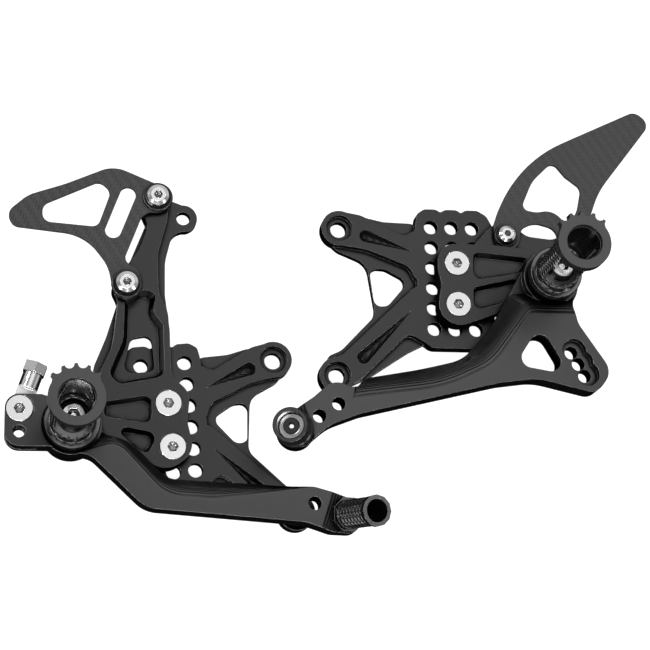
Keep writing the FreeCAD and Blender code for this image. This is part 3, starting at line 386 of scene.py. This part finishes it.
def turned_black(name, tone=0.006, rough=0.24, edge=0.02, gloss=0.2):
    """Turned and anodised aluminium of the pegs: smooth, with a faint grain, less gloss in inner corners as
    painted shade, and broken edges lighter with wear and a painted highlight.
    """
    shader = Shader(name, grey(tone), 0.0, rough)
    # painted shade: less gloss in inner corners
    clear_of_corner_shade = shader.corner_shade_mask(TURNED_CORNER_SHADE, open_share=0.8, shut_share=0.35)
    shader.link(shader.spread(clear_of_corner_shade, gloss * 0.1, gloss), shader.surface.inputs["Specular IOR Level"])
    mottle = shader.noise(MOTTLE_SCALE, MOTTLE_DETAIL)
    rounded = shader.rounded(TURNED_EDGE)
    face = shader.mix(mottle, grey(tone * 0.9), grey(tone * 1.1))
    # broken edges lighter: wear and a painted highlight
    shader.paint(shader.mix(shader.worn_and_highlit(rounded), face, grey(edge)))
    shader.link(shader.spread(mottle, rough - 0.04, rough + 0.05), shader.surface.inputs["Roughness"])
    shader.bump(shader.noise(TURNED_GRAIN_SCALE), TURNED_GRAIN_DEPTH, rounded)
    return shader.material


def bright_steel(name, tone=0.75, rough=0.2, corner_shaded_tone=0.09):
    """Turned stainless steel with fine scratches, painted shade in its sockets and inner corners, and broken
    edges lighter as a painted highlight.
    """
    shader = Shader(name, grey(tone), 1.0, rough)
    scratches = shader.noise(SCRATCH_SCALE, SCRATCH_DETAIL, stretch=(1, 1, 6))
    rounded = shader.rounded(FINE_EDGE)
    face = shader.mix(scratches, grey(tone * 0.9), grey(tone * 1.05))
    # painted shade in sockets and inner corners
    clear_of_corner_shade = shader.corner_shade_mask(SOCKET_CORNER_SHADE, shut_share=0.55)
    corner_shaded = shader.mix(clear_of_corner_shade, grey(corner_shaded_tone), face)
    # broken edges lighter: a painted highlight
    shader.paint(shader.mix(shader.worn_and_highlit(rounded), corner_shaded, grey(min(1.0, tone * 1.3))))
    shader.link(shader.spread(scratches, rough - 0.04, rough + 0.06), shader.surface.inputs["Roughness"])
    shader.bump(scratches, SCRATCH_DEPTH, rounded)
    return shader.material


def steel_with_shaded_socket(name, foot, top, socket_radius, centre_radius, tone=0.75):
    """Bright steel of an upright bolt whose socket has painted shade down to the small flat at its floor."""
    shader = Shader(name, grey(tone), 1.0, 0.2)
    reach = shader.distance_from_line(foot, (0, 0, 1))
    sunk = shader.math("LESS_THAN", shader.split(shader.place)["Z"], top - SOCKET_MARGIN * MM)
    inner = shader.math("LESS_THAN", reach, socket_radius)
    outer = shader.math("GREATER_THAN", reach, centre_radius)
    shaded = shader.math("MULTIPLY", shader.math("MULTIPLY", sunk, inner), outer)
    scratches = shader.noise(SCRATCH_SCALE, SCRATCH_DETAIL)
    rounded = shader.rounded(FINE_EDGE)
    face = shader.mix(scratches, grey(tone * 0.92), grey(tone * 1.05))
    shader.paint(shader.mix(shaded, face, grey(tone * 0.06)))
    shader.link(shader.spread(scratches, 0.16, 0.26), shader.surface.inputs["Roughness"])
    shader.bump(scratches, SCRATCH_DEPTH, rounded)
    return shader.material


def plain(name, color, metallic, rough):
    """Base finish with a light grain, for small parts."""
    shader = Shader(name, color, metallic, rough)
    noise = shader.noise(LIGHT_GRAIN_SCALE)
    shader.paint(shader.mix(noise, tuple(c * 0.85 for c in color), tuple(c * 1.1 for c in color)))
    shader.link(shader.spread(noise, rough - 0.05, rough + 0.08), shader.surface.inputs["Roughness"])
    shader.bump(noise, LIGHT_GRAIN_DEPTH)
    return shader.material


def black_steel_with_painted_glint(name, foot, along, radius):
    """Black oxide, with a painted highlight on the floor of the socket round the line through foot."""
    shader = Shader(name, grey(0.02), 1.0, 0.35)
    # painted highlight: a bright disc on the socket floor
    painted_glint = shader.math("LESS_THAN", shader.distance_from_line(foot, along), radius)
    noise = shader.noise(LIGHT_GRAIN_SCALE)
    dark = shader.mix(noise, grey(0.016), grey(0.024))
    shader.paint(shader.mix(painted_glint, dark, grey(0.8)))
    shader.link(shader.spread(noise, 0.28, 0.42), shader.surface.inputs["Roughness"])
    shader.bump(noise, LIGHT_GRAIN_DEPTH)
    return shader.material


def twill_carbon(name):
    """Two-by-two twill: tows run over two and under two, one step along each row."""
    shader = Shader(name, (0.05, 0.05, 0.052), 0.0, 0.35)
    turned = shader.add("ShaderNodeMapping")
    turned.inputs["Rotation"].default_value = (0, 0, math.radians(WEAVE_TURN))
    turned.inputs["Scale"].default_value = (1 / (TOW_WIDTH * MM),) * 3
    shader.link(shader.place, turned.inputs["Vector"])
    split = shader.split(turned.outputs["Vector"])
    x, y = split["X"], split["Y"]
    column, line = shader.math("FLOOR", x), shader.math("FLOOR", y)
    step = shader.math("FLOORED_MODULO", shader.math("ADD", column, line), 4.0)
    warp_on_top = shader.math("LESS_THAN", step, 1.5)
    across_x = shader.math("ABSOLUTE", shader.math("SUBTRACT", shader.math("FRACT", x), 0.5))
    across_y = shader.math("ABSOLUTE", shader.math("SUBTRACT", shader.math("FRACT", y), 0.5))
    off_centre = shader.add("ShaderNodeMix", data_type="FLOAT")
    shader.link(warp_on_top, off_centre.inputs[0])
    shader.link(across_x, off_centre.inputs[2])
    shader.link(across_y, off_centre.inputs[3])
    fall = shader.math("POWER", shader.math("MULTIPLY", off_centre.outputs[0], 2.0), 2.0)
    crown = shader.math("SUBTRACT", 1.0, fall)
    shader.paint(shader.mix(warp_on_top, (0.018, 0.018, 0.019), (0.028, 0.028, 0.029)))
    shader.link(shader.spread(warp_on_top, 0.32, 0.44), shader.surface.inputs["Roughness"])
    shader.surface.inputs["Specular IOR Level"].default_value = 0.12
    shader.bump(crown, WEAVE_DEPTH, shader.rounded(FINE_EDGE))
    return shader.material


def make_materials():
    """One material for each slot of the record."""
    return {
        "black_anodised": black_anodised("black_anodised", 0.01, 0.0145),
        "black_grip": turned_black("black_grip", tone=0.002, rough=0.15, edge=0.1, gloss=0.34),
        "black_steel": plain("black_steel", grey(0.02), 1.0, 0.35),
        "steel_screw": bright_steel("steel_screw"),
        "bearing_steel": bright_steel("bearing_steel", tone=0.8, rough=0.12),
        "bronze_bush": plain("bronze_bush", (0.5, 0.33, 0.15), 1.0, 0.3),
        "seal_rubber": plain("seal_rubber", grey(0.012), 0.0, 0.6),
        "carbon_fibre": twill_carbon("carbon_fibre"),
    }


# ---------------------------------------------------------------- CAD nodes

SLOTS = {part["node"]: part["material_slot"] for part in frame["record"]["subparts"]}
BRIGHT_SLOTS = ("steel_screw", "bearing_steel", "bronze_bush")
LEVER_NODES = ("brake_pedal", "shift_lever")
TURNED_NODES = ("brake_peg_end_ring", "shift_peg_end_ring", "shift_toe_sleeve")

PEG_AXES = {"brake": (-170.0, -137.0), "shift": (132.0, -36.5)}
PEG_BOLT_TOP = 62.0
PEG_BOLT_SOCKET_RADIUS = 4.2
PEG_BOLT_CENTRE_RADIUS = 2.0
SHIFT_TOE_FOOT = (-33.6, -137.8, 30.8)
SHIFT_TOE_DIRECTION = (-0.29, -0.08, 0.954)
SHIFT_TOE_CENTRE_RADIUS = 1.5


def dress(node, material):
    """Gives a CAD node its material."""
    piece = nodes[node]
    piece.data.materials.clear()
    piece.data.materials.append(material)


# ---------------------------------------------------------------- cut grips

# Lengthwise grooves of a grip: how many, the first one's turn in degrees, where they start and end
# along the peg, the radius of the crests, how deep they are, and half their width at the cutter's mouth.
Grooves = namedtuple("Grooves", "count first_turn low high crest depth half_width")
FOOT_PEG_GROOVES = Grooves(16, 11.25, 47.9, 100.7, 13.0, 1.3, 1.75)
TOE_PEG_GROOVES = Grooves(12, 15, 8.0, 36.9, 8.9, 1.1, 1.6)
MOUTH_RISE = 1             # the cutters reach this far outside the crests
WELD_DISTANCE = 0.000001
TOE_PEG_FOOT = (-5.3, -189.7, 30.8)
TOE_PEG_DIRECTION = (0.31, -0.10, 0.945)


def ring_of_wedges(grooves):
    """Closed triangular prisms round the Z axis; each one cuts a V groove along a peg."""
    tip_radius = (grooves.crest - grooves.depth) * MM
    mouth_radius = (grooves.crest + MOUTH_RISE) * MM
    half_width = grooves.half_width * MM
    corners = ((tip_radius, 0), (mouth_radius, half_width), (mouth_radius, -half_width))
    first_turn = math.radians(grooves.first_turn)
    mesh = bmesh.new()
    for number in range(grooves.count):
        turn = Matrix.Rotation(math.tau * number / grooves.count + first_turn, 3, "Z")
        ends = []
        for z in (grooves.low * MM, grooves.high * MM):
            ends.append([mesh.verts.new(turn @ Vector((x, y, z))) for x, y in corners])
        bottom, top = ends
        mesh.faces.new(bottom[::-1])
        mesh.faces.new(top)
        for side in range(3):
            after = (side + 1) % 3
            mesh.faces.new((bottom[side], bottom[after], top[after], top[side]))
    bmesh.ops.recalc_face_normals(mesh, faces=mesh.faces)
    return mesh


def grooved_copy(name, node, grooves, stand, materials):
    """Copy of a ringed CAD grip with lengthwise grooves, which leave rows of teeth."""
    cutter = ring_of_wedges(grooves)
    tool = bpy.data.objects.new(name + "_cutter", bpy.data.meshes.new(name + "_cutter"))
    cutter.to_mesh(tool.data)
    cutter.free()
    tool.data.transform(stand)
    piece = bpy.data.objects.new(name, nodes[node].data.copy())
    for thing in (tool, piece):
        bpy.context.scene.collection.objects.link(thing)
    weld = piece.modifiers.new("weld", "WELD")
    weld.merge_threshold = WELD_DISTANCE
    cut = piece.modifiers.new("cut", "BOOLEAN")
    cut.object = tool
    cut.operation = "DIFFERENCE"
    cut.solver = "EXACT"
    bpy.context.view_layer.update()
    finished = bpy.data.meshes.new_from_object(piece.evaluated_get(bpy.context.evaluated_depsgraph_get()))
    piece.modifiers.clear()
    piece.data = finished
    bpy.data.objects.remove(tool)
    finished.materials.clear()
    finished.materials.append(materials[SLOTS[node]])
    return piece


def add_foot_peg(side, materials):
    x, y = PEG_AXES[side]
    stand = Matrix.Translation(Vector((x, y, 0)) * MM)
    piece = grooved_copy(side + "_foot_peg_grip", side + "_foot_peg", FOOT_PEG_GROOVES, stand,
                         materials)
    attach(piece, "fixed_frame")
    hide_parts(side + "_foot_peg")


def add_toe_peg(materials):
    turn = Vector((0, 0, 1)).rotation_difference(Vector(TOE_PEG_DIRECTION)).to_matrix().to_4x4()
    stand = Matrix.Translation(Vector(TOE_PEG_FOOT) * MM) @ turn
    piece = grooved_copy("brake_toe_peg_grip", "brake_toe_peg", TOE_PEG_GROOVES, stand, materials)
    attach(piece, "brake_pedal_body")
    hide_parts("brake_toe_peg")


# ---------------------------------------------------------------- internal threads

THREAD_PITCH = 1.25
STEPS_PER_TURN = 40
THREAD_BITE = 0.03                 # how far the ridge's foot lies inside the wall of the bore
HALF_FOOT = 0.42                   # half widths of the ridge at its foot and crest, in pitches
HALF_CREST = 0.08


def add_thread(name, stand, length, radius, depth, body, slot_name, materials):
    """Ridge of an internal thread, wound along a bore; stand places the end it starts from."""
    pitch = THREAD_PITCH * MM
    foot, crest = radius + THREAD_BITE * MM, radius - depth
    section = ((foot, -HALF_FOOT), (crest, -HALF_CREST), (crest, HALF_CREST), (foot, HALF_FOOT))
    mesh = bmesh.new()
    turns = length / pitch - 1
    rings = []
    for step in range(int(turns * STEPS_PER_TURN) + 1):
        angle = math.tau * step / STEPS_PER_TURN
        height = pitch * (step / STEPS_PER_TURN + 0.5)
        rings.append([mesh.verts.new((r * math.cos(angle), r * math.sin(angle), height + z * pitch))
                      for r, z in section])
    for ring, after in zip(rings, rings[1:]):
        for corner in range(4):
            other = (corner + 1) % 4
            mesh.faces.new((ring[corner], after[corner], after[other], ring[other]))
    mesh.faces.new(rings[0])
    mesh.faces.new(rings[-1][::-1])
    bmesh.ops.recalc_face_normals(mesh, faces=mesh.faces)
    piece = bpy.data.objects.new(name, bpy.data.meshes.new(name))
    mesh.to_mesh(piece.data)
    mesh.free()
    piece.data.transform(stand)
    piece.data.materials.append(materials[slot_name])
    bpy.context.scene.collection.objects.link(piece)
    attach(piece, body)


SPARE_THREAD_AT = (-201.0, -142.0)
SPARE_THREADS = {"lower": (23.5, 4.6), "upper": (33.5, 4.6)}   # where each starts, and its length
SPARE_BORE = 4.0
SPARE_THREAD_DEPTH = 0.55
PUSHROD_PIVOT = (-201.0, -128.0, 30.8)
PUSHROD_HEADING = 71.0             # degrees
PUSHROD_THREAD = (16.5, 13.8)      # how far from the pivot it starts, and its length
PUSHROD_BORE = 3.4
PUSHROD_THREAD_DEPTH = 0.35


def add_threads(materials):
    for place, (low, length) in SPARE_THREADS.items():
        stand = Matrix.Translation(Vector((*SPARE_THREAD_AT, low)) * MM)
        add_thread("pedal_thread_" + place, stand, length * MM, SPARE_BORE * MM, SPARE_THREAD_DEPTH * MM,
                   "brake_pedal_body", "black_anodised", materials)
    start, length = PUSHROD_THREAD
    stand = (Matrix.Translation(Vector(PUSHROD_PIVOT) * MM)
             @ Matrix.Rotation(math.radians(PUSHROD_HEADING), 4, "Z")
             @ Matrix.Rotation(math.radians(90), 4, "Y") @ Matrix.Translation((0, 0, start * MM)))
    add_thread("pushrod_thread", stand, length * MM, PUSHROD_BORE * MM, PUSHROD_THREAD_DEPTH * MM,
               "brake_pushrod", "steel_screw", materials)


# ---------------------------------------------------------------- the scene

def main():
    add_camera()
    floor = add_floor()
    add_sky()
    keys = add_lights()
    materials = make_materials()
    bright_materials = {materials[slot] for slot in BRIGHT_SLOTS}
    for node in nodes:
        dress(node, materials[SLOTS[node]])
    for side in PEG_AXES:
        add_foot_peg(side, materials)
    add_toe_peg(materials)
    add_threads(materials)
    lever_black = black_anodised("black_lever", 0.015, 0.022)
    for node in LEVER_NODES:
        dress(node, lever_black)
    smooth_black = turned_black("black_turned")
    for node in TURNED_NODES:
        dress(node, smooth_black)
    for side, (x, y) in PEG_AXES.items():
        socketed = steel_with_shaded_socket(side + "_peg_bolt_steel", Vector((x, y, 0)) * MM,
                                            PEG_BOLT_TOP * MM, PEG_BOLT_SOCKET_RADIUS * MM,
                                            PEG_BOLT_CENTRE_RADIUS * MM)
        dress(side + "_peg_bolt", socketed)
        bright_materials.add(socketed)
    # milder painted shade in the washer's corners
    washer_steel = bright_steel("washer_steel", corner_shaded_tone=0.6)
    dress("shift_toe_cap_washer", washer_steel)
    bright_materials.add(washer_steel)
    dress("shift_toe_bolt", black_steel_with_painted_glint(
        "black_steel_painted_glint", Vector(SHIFT_TOE_FOOT) * MM, Vector(SHIFT_TOE_DIRECTION).normalized(),
        SHIFT_TOE_CENTRE_RADIUS * MM))
    pieces = [piece for piece in bpy.data.objects if piece.type == "MESH" and piece != floor]
    bright = [piece for piece in pieces if piece.data.materials[0] in bright_materials]
    dark = [piece for piece in pieces if piece not in bright]
    share_lights(keys["dark"], "dark_parts", dark)
    share_lights(keys["bright"], "bright_parts", bright + [floor])
    share_lights(keys["toe"], "toe_parts", [piece for piece in dark if "_toe_" in piece.name])
    turned_materials = (smooth_black, materials["black_grip"])
    share_lights(keys["turned"], "turned_parts",
                 [piece for piece in dark if piece.data.materials[0] in turned_materials])


main()
